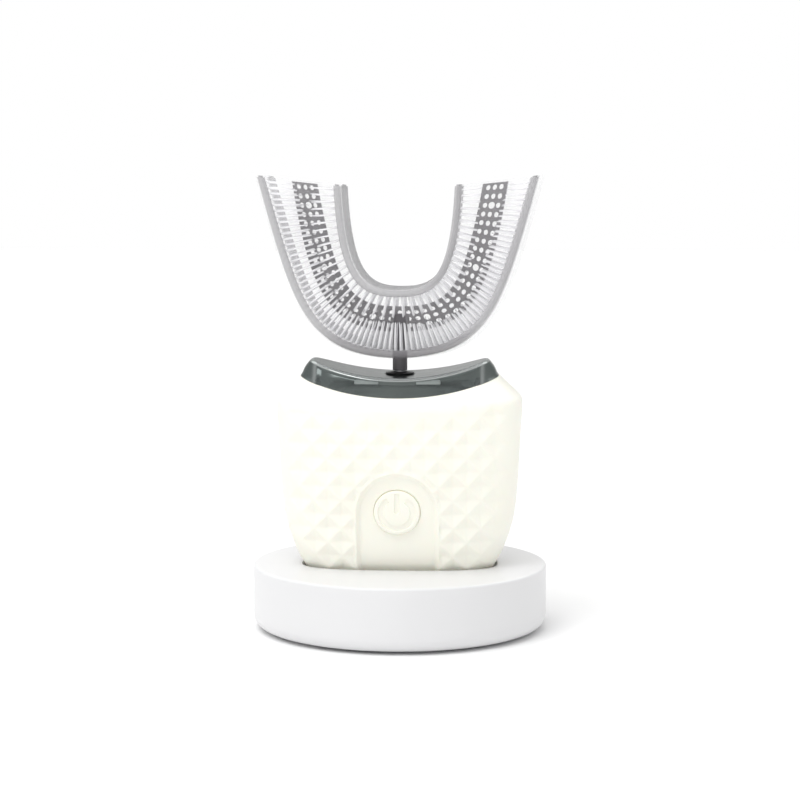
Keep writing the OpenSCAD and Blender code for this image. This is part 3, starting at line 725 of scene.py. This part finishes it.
def make_dock(material):
    """Dock body: rounded puck with the oval pocket that the handle stands in, open underneath."""
    columns = 320
    r, top = DOCK_R, DOCK_TOP
    lip, foot, bottom = 0.6 * MM, 2.8 * MM, 0.6 * MM
    pocket_w, pocket_d = 23.3 * MM, 11.6 * MM
    floor = top - 3.5 * MM
    rim, corner = 0.3 * MM, 0.8 * MM
    rings = []
    for share in (0.25, 0.5, 0.75, 0.9):
        rings.append(polar_ring((pocket_w - corner) * share, (pocket_d - corner) * share, floor, columns))
    for a in (0, 30, 60, 90):
        out, up = corner * math.sin(math.radians(a)), corner * (1 - math.cos(math.radians(a)))
        rings.append(polar_ring(pocket_w - corner + out, pocket_d - corner + out, floor + up, columns))
    for a in (0, 22.5, 45, 67.5, 90):
        out, up = rim * (1 - math.cos(math.radians(a))), rim * (1 - math.sin(math.radians(a)))
        rings.append(polar_ring(pocket_w + out, pocket_d + out, top - up, columns))
    edge = rings[-1]
    outer = polar_ring(r - lip, r - lip, top, columns, 2)
    for share in np.linspace(0, 1, 14)[1:]:
        rings.append(edge * (1 - share) + outer * share)
    for a in (75, 60, 45, 30, 15, 0):
        c, s = math.cos(math.radians(a)), math.sin(math.radians(a))
        rings.append(polar_ring(r - lip + lip * c, r - lip + lip * c, top - lip + lip * s, columns, 2))
    for z in np.linspace(top - lip, bottom + foot, 8)[1:]:
        rings.append(polar_ring(r, r, z, columns, 2))
    for a in (15, 30, 45, 60, 75, 90):
        c, s = math.cos(math.radians(a)), math.sin(math.radians(a))
        reach = r - foot + foot * c
        rings.append(polar_ring(reach, reach, bottom + foot - foot * s, columns, 2))
    inner = r - 3.05 * MM
    wall = r - 2 * MM
    rings.append(polar_ring(inner, inner, bottom, columns, 2))
    rings.append(polar_ring(inner, inner, bottom + 1.8 * MM, columns, 2))
    rings.append(polar_ring(wall, wall, bottom + 1.8 * MM, columns, 2))
    rings.append(polar_ring(wall, wall, top - 2 * MM, columns, 2))
    rings.append(polar_ring(pocket_w + 1.5 * MM, pocket_d + 1.5 * MM, top - 2 * MM, columns))
    rings.append(polar_ring(pocket_w + 1.5 * MM, pocket_d + 1.5 * MM, floor - 1.4 * MM, columns))
    body = ring_solid("dock_body", rings, material, start_pole=(0, 0, floor),
                      end_pole=(0, 0, floor - 1.4 * MM))
    # the opening for the charging inlet, flared at the dock's side
    inlet_z = 7.3 * MM
    levels = [(0, r - 8 * MM), (0, r - 0.55 * MM), (0.2 * MM, r - 0.3 * MM), (0.6 * MM, r - 0.05 * MM),
              (1.2 * MM, r + 1 * MM)]
    verts = []
    for grow, y in levels:
        half = 1.9 * MM + grow
        outline = arc((2.9 * MM, 0), half, -90, 90, 12) + arc((-2.9 * MM, 0), half, 90, 270, 12)
        verts += [(px, y, inlet_z + pz) for px, pz in outline]
    count = len(outline)
    faces = grid_faces(len(levels), count)
    faces += [tuple(range(count)), tuple((len(levels) - 1) * count + k for k in range(count))]
    cut(body, face_outwards(make_object("inlet_cutter", verts, faces, material)))
    body.data.shade_smooth()
    body.data.set_sharp_from_angle(angle=math.radians(38))
    return body


def make_inlet(shell_material, tongue_material):
    """Charging inlet at the back: a drawn steel shell round a moulded tongue."""
    z, back = 7.3 * MM, DOCK_R - 0.5 * MM
    verts, count = [], 0
    levels = [(1.65, back - 7.6 * MM), (1.65, back - 0.12 * MM), (1.6, back), (1.42, back),
              (1.35, back - 0.12 * MM), (1.35, back - 6.6 * MM)]
    for half, y in levels:
        outline = arc((2.9 * MM, 0), half * MM, -90, 90, 12) + arc((-2.9 * MM, 0), half * MM, 90, 270, 12)
        verts += [(px, y, z + pz) for px, pz in outline]
        count = len(outline)
    faces = grid_faces(len(levels), count)
    faces += [tuple(range(count)), tuple((len(levels) - 1) * count + k for k in range(count))]
    shell = face_outwards(make_object("inlet_shell", verts, faces, shell_material, sharp_deg=40))
    bm = bmesh.new()
    bmesh.ops.create_cube(bm, size=1)
    for v in bm.verts:
        v.co = Vector((v.co.x * 6.6 * MM, back - 3.9 * MM + v.co.y * 5.6 * MM, z + v.co.z * 0.7 * MM))
    bmesh.ops.bevel(bm, geom=bm.edges[:], offset=0.15 * MM, segments=2, affect="EDGES")
    mesh = bpy.data.meshes.new("inlet_tongue")
    bm.to_mesh(mesh)
    bm.free()
    tongue = bpy.data.objects.new("inlet_tongue", mesh)
    bpy.context.scene.collection.objects.link(tongue)
    mesh.materials.append(tongue_material)
    return shell, tongue


# ---------------------------------------------------------------- mouthpiece

MOUTH_BASE = DOCK_TOP + 50 * MM
# Half of each outline of the U, as a cubic curve from its middle to the arm's tip: (x, height above the base)
OUTER_CURVE = np.array([(0, 0), (22, 0), (24.7, 10), (33.3, 42.3)]) * MM
INNER_CURVE = np.array([(0, 15.7), (7.6, 15.7), (12.2, 17.8), (13.2, 40.0)]) * MM
HALF_DEPTH = 12 * MM
WALL = 1.65 * MM
BULGE = 0.9 * MM
RIM_IN = 0.9 * MM
WEB_HALF_T = 1.2 * MM


def curve_point(curve, t):
    """Point on the whole outline: t runs from -1 at the left tip to 1 at the right tip."""
    s = abs(t)
    p = ((1 - s) ** 3 * curve[0] + 3 * (1 - s) ** 2 * s * curve[1] + 3 * (1 - s) * s * s * curve[2]
         + s ** 3 * curve[3])
    return np.array([math.copysign(p[0], t), p[1]])


def arm(t):
    """Outer point, direction to the inner point and the width between them, at t."""
    outer, inner = curve_point(OUTER_CURVE, t), curve_point(INNER_CURVE, t)
    width = np.linalg.norm(inner - outer)
    return outer, (inner - outer) / width, width


def mouth_point(t, share, offset, y):
    outer, direction, width = arm(t)
    q = outer + direction * (width * share + offset)
    return q[0], y, MOUTH_BASE + q[1]


def rim_lean(t, share, y):
    """How far the outer wall leans inwards: none at the foot of the U, most at the rims of the arms."""
    return RIM_IN * min(1, 3 * abs(t)) * (y / HALF_DEPTH) ** 2 if share == 0 else 0


def tray_section():
    """Rounded H outline: (share of the width, offset, y), anticlockwise."""
    d, w, h = HALF_DEPTH, WALL, WEB_HALF_T
    rim, fillet = 0.75 * MM, 1.1 * MM

    def bulge(y):
        return BULGE * (1 - (y / d) ** 2)

    half = []
    for y in np.linspace(0, d - rim, 9)[:-1]:
        half.append((0, -bulge(y), y))
    for a in (180, 157, 135, 112, 90):
        c, s = math.cos(math.radians(a)), math.sin(math.radians(a))
        half.append((0, rim + rim * c - bulge(d - rim + rim * s), d - rim + rim * s))
    for a in (90, 60, 30, 0):
        c, s = math.cos(math.radians(a)), math.sin(math.radians(a))
        half.append((0, w - rim + rim * c, d - rim + rim * s))
    foot = w - BULGE
    for y in np.linspace(d - rim, h + fillet, 6)[1:-1]:
        half.append((0, foot + BULGE * (y - h) / (d - h), y))
    for a in (180, 210, 240, 270):
        c, s = math.cos(math.radians(a)), math.sin(math.radians(a))
        half.append((0, foot + fillet + fillet * c, h + fillet + fillet * s))
    for a in (270, 300, 330, 360):
        c, s = math.cos(math.radians(a)), math.sin(math.radians(a))
        half.append((1, -w - fillet + fillet * c, h + fillet + fillet * s))
    for y in np.linspace(h + fillet, d - rim, 6)[1:-1]:
        half.append((1, -w, y))
    for a in (180, 150, 120, 90):
        c, s = math.cos(math.radians(a)), math.sin(math.radians(a))
        half.append((1, -w + rim + rim * c, d - rim + rim * s))
    for a in (90, 60, 30, 0):
        c, s = math.cos(math.radians(a)), math.sin(math.radians(a))
        half.append((1, -rim + rim * c, d - rim + rim * s))
    for y in np.linspace(d - rim, 0, 8)[1:]:
        half.append((1, 0, y))
    mirrored = [(s, o, -y) for s, o, y in half[-2:0:-1]]
    return half + mirrored


def make_tray(material):
    """The silicone mouthpiece: two U-shaped trays back to back, with bevelled arm ends."""
    section = tray_section()
    stations = np.linspace(-1, 1, 121)
    verts = [mouth_point(t, share, offset + rim_lean(t, share, y), y)
             for t in stations for share, offset, y in section]
    count = len(section)
    faces = grid_faces(len(stations), count)
    tray = make_object("tray_silicone", verts, faces, material)
    bm = bmesh.new()
    bm.from_mesh(tray.data)
    bm.verts.ensure_lookup_table()
    caps = []
    for first in (0, (len(stations) - 1) * count):
        caps.append(bm.faces.new([bm.verts[first + k] for k in range(count)]))
    bmesh.ops.recalc_face_normals(bm, faces=bm.faces)
    edges = [e for cap in caps for e in cap.edges]
    bmesh.ops.bevel(bm, geom=edges, offset=0.35 * MM, segments=2, affect="EDGES", clamp_overlap=True)
    bmesh.ops.triangulate(bm, faces=[f for f in bm.faces if len(f.verts) > 4])
    bm.to_mesh(tray.data)
    bm.free()
    # painted shade: this attribute marks the rims that the material paints grey
    rim = tray.data.attributes.new("rim", "FLOAT", "POINT")
    depth = np.abs(np.array([v.co.y for v in tray.data.vertices]))
    share = smoothstep(depth, HALF_DEPTH - 1.6 * MM, HALF_DEPTH - 0.4 * MM)
    rim.data.foreach_set("value", share.astype(np.float32))
    # painted shade: this attribute marks the foot of the U, where the rims are painted darker
    foot = tray.data.attributes.new("foot", "FLOAT", "POINT")
    height = np.array([v.co.z for v in tray.data.vertices]) - MOUTH_BASE
    foot.data.foreach_set("value", (1 - smoothstep(height, 0, 9 * MM)).astype(np.float32))
    tray.data.shade_smooth()
    tray.data.set_sharp_from_angle(angle=math.radians(50))
    return tray


BAND_SHARE = 0.53
BAND_HALF_W = 3 * MM
BAND_HALF_T = 0.6 * MM
ROW_PITCH = 2.15 * MM
# Hole columns across the band: cell edges and hole centre
BAND_CELLS = [(-3.0, -0.8, -1.55), (-0.8, 0.8, 0.0), (0.8, 3.0, 1.55)]
SMALL_HOLE = (0.5 * MM, 0.62 * MM)
LARGE_HOLE_R = 0.8 * MM


def band_rows():
    """Values of t that part the band into rows of one pitch."""
    t = np.linspace(-0.993, 0.993, 1201)
    points = np.array([mouth_point(v if v else 1e-9, BAND_SHARE, 0, 0) for v in t])
    length = np.concatenate([[0], np.cumsum(np.linalg.norm(np.diff(points, axis=0), axis=1))])
    count = round(length[-1] / ROW_PITCH)
    return np.interp(np.linspace(0, length[-1], count + 1), length, t)


def make_skeleton(material):
    """Moulded band inside the web: rows of round holes that key the silicone, and six larger ones."""
    rows = band_rows()
    count = len(rows) - 1
    large = {count // 2 + side * k for side in (-1, 1) for k in (3, 11, 18)}
    verts, faces = [], []
    per_side = 4
    for r in range(count):
        t0, t1 = rows[r], rows[r + 1]
        for c, (left, right, centre) in enumerate(BAND_CELLS):
            hole = SMALL_HOLE
            if c == 1 and r in large:
                hole = (LARGE_HOLE_R * 0.93, LARGE_HOLE_R)
            square, ring = [], []
            for side in range(4):
                for k in range(per_side):
                    f = k / per_side
                    u, v = [(f, 0), (1, f), (1 - f, 1), (0, 1 - f)][side]
                    square.append((left + (right - left) * u, v))
                    du, dv = left + (right - left) * u - centre, (v - 0.5) * ROW_PITCH / MM
                    a = math.atan2(dv, du)
                    ring.append((centre + hole[0] / MM * math.cos(a),
                                 0.5 + hole[1] * math.sin(a) / ROW_PITCH))
            loops = []
            for y in (-BAND_HALF_T, BAND_HALF_T):
                for shape in (square, ring):
                    first = len(verts)
                    for u, v in shape:
                        t = t0 + (t1 - t0) * v
                        verts.append(mouth_point(t if t else 1e-9, BAND_SHARE, u * MM, y))
                    loops.append(first)
            n = 4 * per_side
            for k in range(n):
                k2 = (k + 1) % n
                faces.append((loops[0] + k, loops[0] + k2, loops[1] + k2, loops[1] + k))
                faces.append((loops[2] + k, loops[3] + k, loops[3] + k2, loops[2] + k2))
                faces.append((loops[1] + k, loops[1] + k2, loops[3] + k2, loops[3] + k))
                side = k // per_side
                if (side, r) in ((0, 0), (2, count - 1)) or (side, c) in ((1, 2), (3, 0)):
                    faces.append((loops[0] + k, loops[2] + k, loops[2] + k2, loops[0] + k2))
    band = make_object("web_band", verts, faces, material)
    face_outwards(band)
    band.data.shade_smooth()
    band.data.set_sharp_from_angle(angle=math.radians(40))
    return band


def make_stem(material):
    """Moulded stem that plugs on the shaft, with a block that grips the band."""
    r, bottom, top = 1.75 * MM, 46.12 * MM, 59.6 * MM
    edge = 0.3 * MM
    profile = [(1.26 * MM, bottom), (r - edge, bottom)] + arc((r - edge, bottom + edge), edge, -70, 0, 4)
    profile += [(r, 56.4 * MM), (r + 0.5 * MM, 57.2 * MM), (r + 0.5 * MM, top - edge)]
    profile += arc((r + 0.5 * MM - edge, top - edge), edge, 20, 90, 4)
    profile += [(0.00005, top), (0.00005, 55.9 * MM), (1.26 * MM, 55.9 * MM)]
    verts, faces = lathe(profile, 64, (0, 0, DOCK_TOP))
    for i, v in enumerate(verts):
        z = v[2] - DOCK_TOP
        if z > 56.5 * MM:
            flat = np.clip((z - 56.5 * MM) / MM, 0, 1)
            verts[i] = (v[0], v[1] * (1 - 0.35 * flat), v[2])
    return face_outwards(make_object("stem_moulding", verts, faces, material, sharp_deg=40))


def bristle_tree(material):
    """Geometry Nodes: one tapered filament on each root point, along its aim, a little uneven."""
    tree = bpy.data.node_groups.new("filaments", "GeometryNodeTree")
    face = tree.interface
    face.new_socket("Geometry", in_out="INPUT", socket_type="NodeSocketGeometry")
    for name, value in (("Root radius", 0.26 * MM), ("Tip radius", 0.1 * MM), ("Length spread", 0.08),
                        ("Lean", 0.035)):
        socket = face.new_socket(name, in_out="INPUT", socket_type="NodeSocketFloat")
        socket.default_value = value
    face.new_socket("Sides", in_out="INPUT", socket_type="NodeSocketInt").default_value = 6
    face.new_socket("Seed", in_out="INPUT", socket_type="NodeSocketInt").default_value = 7
    face.new_socket("Geometry", in_out="OUTPUT", socket_type="NodeSocketGeometry")
    given = add_node(tree, "NodeGroupInput").outputs
    points = add_node(tree, "GeometryNodeMeshToPoints", {"Mesh": given["Geometry"]})
    cone = add_node(tree, "GeometryNodeMeshCone", {
        "Vertices": given["Sides"], "Side Segments": 2, "Radius Top": given["Tip radius"],
        "Radius Bottom": given["Root radius"], "Depth": 1.0}, fill_type="TRIANGLE_FAN")
    aim = add_node(tree, "GeometryNodeInputNamedAttribute", {"Name": "aim"}, data_type="FLOAT_VECTOR")
    length = add_node(tree, "GeometryNodeInputNamedAttribute", {"Name": "length"}, data_type="FLOAT")
    low = add_node(tree, "ShaderNodeMath", {0: given["Lean"], 1: -1.0}, operation="MULTIPLY")
    lows = add_node(tree, "ShaderNodeCombineXYZ", {axis: low.outputs[0] for axis in "XYZ"})
    highs = add_node(tree, "ShaderNodeCombineXYZ", {axis: given["Lean"] for axis in "XYZ"})
    lean = add_node(tree, "FunctionNodeRandomValue", {
        0: lows.outputs[0], 1: highs.outputs[0], "Seed": given["Seed"]}, data_type="FLOAT_VECTOR")
    leaning = add_node(tree, "ShaderNodeVectorMath", {0: aim.outputs["Attribute"], 1: lean.outputs[0]},
                       operation="ADD")
    turn = add_node(tree, "FunctionNodeAlignRotationToVector", {"Vector": leaning.outputs[0]}, axis="Z")
    short = add_node(tree, "ShaderNodeMath", {0: 1.0, 1: given["Length spread"]}, operation="SUBTRACT")
    spread = add_node(tree, "FunctionNodeRandomValue", {2: short.outputs[0], 3: 1.0, "Seed": given["Seed"]},
                      data_type="FLOAT")
    tall = add_node(tree, "ShaderNodeMath", {0: length.outputs["Attribute"], 1: spread.outputs[1]},
                    operation="MULTIPLY")
    size = add_node(tree, "ShaderNodeCombineXYZ", {"X": 1.0, "Y": 1.0, "Z": tall.outputs[0]})
    placed = add_node(tree, "GeometryNodeInstanceOnPoints", {
        "Points": points.outputs["Points"], "Instance": cone.outputs["Mesh"],
        "Rotation": turn.outputs["Rotation"], "Scale": size.outputs[0]})
    real = add_node(tree, "GeometryNodeRealizeInstances", {"Geometry": placed.outputs["Instances"]})
    done = add_node(tree, "GeometryNodeSetMaterial", {
        "Geometry": real.outputs["Geometry"], "Material": material})
    add_node(tree, "NodeGroupOutput", {"Geometry": done.outputs["Geometry"]})
    return tree


def bristle_roots():
    """Root points of all filaments: (place, aim, length)."""
    roots = []
    fine = np.linspace(-0.992, 0.992, 1601)
    depth_rows = (2.3, 4.1, 5.9, 7.7, 9.5, 11.0)
    for share, pitch, sign in ((0, 1.45, 1), (1, 1.4, -1)):
        wall = np.array([mouth_point(t if t else 1e-9, share, 0, 0) for t in fine])
        length = np.concatenate([[0], np.cumsum(np.linalg.norm(np.diff(wall, axis=0), axis=1))])
        count = round(length[-1] / (pitch * MM))
        for y in depth_rows:
            where = (np.arange(count) + 0.5) / count * length[-1]
            for t in np.interp(where, length, fine):
                _, direction, _ = arm(t)
                deep = y * MM
                inner_face = WALL
                if share == 0:
                    inner_face -= BULGE * (1 - (deep - WEB_HALF_T) / (HALF_DEPTH - WEB_HALF_T))
                left = smoothstep(-t, -0.35, 0.45)
                reach = (6.3 + 1.5 * left) if share == 0 else (4.6 + 1.3 * left)
                start = inner_face - 0.1 * MM
                for face in (-1, 1):
                    place = mouth_point(t, share, sign * start, face * deep)
                    roots.append((place, (sign * direction[0], 0.06 * face, sign * direction[1]), reach * MM))
    return roots


def make_bristles(material):
    """All filaments of the mouthpiece as one piece, grown from their roots."""
    roots = bristle_roots()
    mesh = bpy.data.meshes.new("filament_roots")
    mesh.from_pydata([r[0] for r in roots], [], [])
    mesh.attributes.new("aim", "FLOAT_VECTOR", "POINT").data.foreach_set(
        "vector", np.array([r[1] for r in roots], np.float32).ravel())
    mesh.attributes.new("length", "FLOAT", "POINT").data.foreach_set(
        "value", np.array([r[2] for r in roots], np.float32))
    obj = bpy.data.objects.new("silicone_bristles", mesh)
    bpy.context.scene.collection.objects.link(obj)
    tree = bristle_tree(material)
    grow = obj.modifiers.new("filaments", "NODES")
    grow.node_group = tree
    ids = {item.name: item.identifier for item in tree.interface.items_tree if item.in_out == "INPUT"}
    grow[ids["Root radius"]] = 0.24 * MM
    grow[ids["Tip radius"]] = 0.1 * MM
    grow[ids["Seed"]] = 11
    apply_modifiers(obj)
    obj.data.shade_smooth()
    return obj


# ---------------------------------------------------------------- stage

def make_stage():
    m, t, s = new_material("painted_floor", Roughness=0.7)
    c = add_node(t, "ShaderNodeTexCoord").outputs["Object"]
    tone = mottled(t, c, 3, linear("#F0F0F0"), linear("#EEEEEE"))
    t.links.new(tone.outputs["Result"], s.inputs["Base Color"])
    half = 3.0
    floor = make_object("floor", [(-half, -half, 0), (half, -half, 0), (half, half, 0), (-half, half, 0)],
                        [(0, 1, 2, 3)], m)

    world = bpy.data.worlds.new("studio")
    bpy.context.scene.world = world
    world.use_nodes = True
    tree = world.node_tree
    background = tree.nodes["Background"]
    background.inputs["Color"].default_value = (1, 1, 1, 1)
    # a white room that falls off a little towards the right
    sky = add_node(tree, "ShaderNodeTexCoord")
    axes = add_node(tree, "ShaderNodeSeparateXYZ", {0: sky.outputs["Generated"]})
    falloff = add_node(tree, "ShaderNodeMapRange", {
        "Value": axes.outputs["X"], "From Min": 0.15, "From Max": 0.9, "To Min": 0.88, "To Max": 0.78})
    # seen directly it is plain white; as a light it is a little weaker
    path = add_node(tree, "ShaderNodeLightPath")
    strength = add_node(tree, "ShaderNodeMix", {"Factor": path.outputs["Is Camera Ray"],
                                                "A": falloff.outputs["Result"], "B": 1.0})
    tree.links.new(strength.outputs["Result"], background.inputs["Strength"])

    def area_light(name, place, aim, size, power, colour=(1, 1, 1)):
        data = bpy.data.lights.new(name, "AREA")
        data.shape = "RECTANGLE"
        data.size, data.size_y = size
        data.energy = power
        data.color = colour
        light = bpy.data.objects.new(name, data)
        bpy.context.scene.collection.objects.link(light)
        light.location = place
        light.rotation_mode = "QUATERNION"
        light.rotation_quaternion = (Vector(aim) - Vector(place)).to_track_quat("-Z", "Y")
        return light

    area_light("key", (-0.5, -0.65, 1.1), (0, 0, 0.04), (0.45, 0.45), 2.4)
    # a long strip behind and above, for the bright line along the collar's lip
    strip = area_light("strip", (0, 0.65, 0.75), (0, 0, 0.06), (1.4, 0.5), 2.4)
    strip.visible_diffuse = False
    # a wide overhead softbox, far enough to light the whole floor alike
    ceiling = bpy.data.lights.new("ceiling", "SUN")
    ceiling.energy = 1.25
    ceiling.angle = math.radians(40)
    lamp = bpy.data.objects.new("ceiling", ceiling)
    bpy.context.scene.collection.objects.link(lamp)
    lamp.visible_glossy = False
    lamp.rotation_euler = Vector((-0.2, -0.3, 1)).to_track_quat("Z", "Y").to_euler()


def make_camera():
    data = bpy.data.cameras.new("camera")
    data.lens = 94.9
    data.sensor_width = 36
    data.clip_start, data.clip_end = 0.01, 20
    camera = bpy.data.objects.new("camera", data)
    bpy.context.scene.collection.objects.link(camera)
    around, pitch, distance = math.radians(2.9), math.radians(5.78), 0.5
    camera.location = (distance * math.sin(around), -distance * math.cos(around), 0.105)
    camera.rotation_euler = (math.pi / 2 - pitch, 0, around)
    bpy.context.scene.camera = camera
    bpy.context.scene.view_settings.view_transform = "Standard"
    # light has to get through many thin clear walls and filaments
    bounces = bpy.context.scene.cycles
    bounces.max_bounces = bounces.diffuse_bounces = 16
    bounces.transparent_max_bounces = 64


# ---------------------------------------------------------------- the object

made = make_materials()

# CAD nodes that stay as they are, each with its own finish
KEPT = {
    "dock_base_plate": "matt_white", "anti_slip_ring": "grey_rubber", "dock_screws": "steel",
    "transmit_coil": "copper", "transmit_ferrite": "ferrite", "dock_board": "laminate",
    "dock_board_parts": "epoxy", "bottom_cap": "cream", "bottom_seal": "grey_rubber",
    "bottom_screws": "steel", "receive_coil": "copper", "receive_ferrite": "ferrite",
    "chassis": "inner_abs", "battery": "sleeve", "main_board": "laminate", "board_parts": "epoxy",
    "tact_switch": "epoxy", "button_membrane": "grey_rubber", "collar_seal": "grey_rubber",
    "light_board": "laminate", "motor_can": "steel", "motor_end_cap": "inner_abs",
    "motor_windings": "copper", "motor_damper": "black_rubber", "upper_bearing": "bronze",
    "lower_bearing": "bronze", "drive_shaft": "steel", "rotor": "nickel",
}
for name, finish in KEPT.items():
    nodes[name].data.materials.clear()
    nodes[name].data.materials.append(made[finish])

# piece, body, CAD node that it stands for, material slot
inlet_shell, inlet_tongue = make_inlet(made["steel"], made["epoxy"])
PIECES = [
    (make_dock(made["white"]), "dock", "dock_shell", "dock_white"),
    (inlet_shell, "dock", "power_inlet", "steel"),
    (inlet_tongue, "dock", None, "component_black"),
    (make_grip_shell(made["cream"]), "handle", "grip_shell", "grip_cream"),
    (make_collar(made["smoke"]), "handle", "collar", "smoke_chrome"),
    (make_windows(made["frosted"]), "handle", "light_windows", "light_window"),
    (make_shaft_seal(made["black_rubber"]), "handle", "shaft_seal", "seal_black"),
    (make_button(made["cream"]), "button", "power_button", "grip_cream"),
    (make_tray(made["silicone"]), "mouthpiece", "mouthpiece_tray", "clear_silicone"),
    (make_skeleton(made["nylon"]), "mouthpiece", "mouthpiece_frame", "frame_grey"),
    (make_stem(made["nylon"]), "mouthpiece", "mouthpiece_stem", "frame_grey"),
    (make_bristles(made["filament"]), "mouthpiece", None, "clear_silicone"),
]
for piece, body, node, slot in PIECES:
    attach(piece, body)
    if node:
        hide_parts(node)

make_stage()
make_camera()
